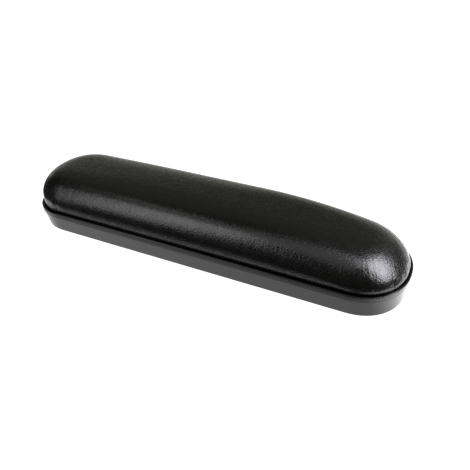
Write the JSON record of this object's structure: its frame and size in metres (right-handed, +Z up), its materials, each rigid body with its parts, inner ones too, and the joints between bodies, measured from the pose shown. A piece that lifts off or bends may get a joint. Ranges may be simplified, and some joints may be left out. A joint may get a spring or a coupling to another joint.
{
  "type": "chair armrest pad",
  "caption": "Upholstered armrest pad: crowned vinyl cushion with a sloping nose on a board, in a moulded plastic tray, with threaded inserts for bolting to a chair's arm.",
  "frame": {"origin": "centre of the flat underside of the tray", "axes": "+X along the pad towards the sloping nose, +Y across the pad, +Z up, away from the chair's arm"},
  "size_m": [0.2554, 0.0688, 0.0367],
  "materials": {
    "tray_plastic": "black moulded plastic, fine satin texture",
    "vinyl": "black grained vinyl, semi-gloss",
    "foam": "cream polyurethane foam",
    "plywood": "raw birch plywood",
    "zinc_steel": "bright zinc plated steel",
    "staple_steel": "galvanised wire",
    "black_screw_steel": "black phosphated steel"
  },
  "bodies": {
    "root": {"base_tray": "tray_plastic", "insert_board": "plywood", "foam_pad": "foam", "vinyl_cover": "vinyl", "hem_staples": "staple_steel", "tee_nut_front": "zinc_steel", "tee_nut_rear": "zinc_steel", "tray_screw_1": "black_screw_steel", "tray_screw_2": "black_screw_steel", "tray_screw_3": "black_screw_steel", "tray_screw_4": "black_screw_steel", "tray_screw_5": "black_screw_steel", "tray_screw_6": "black_screw_steel"}
  },
  "joints": []
}
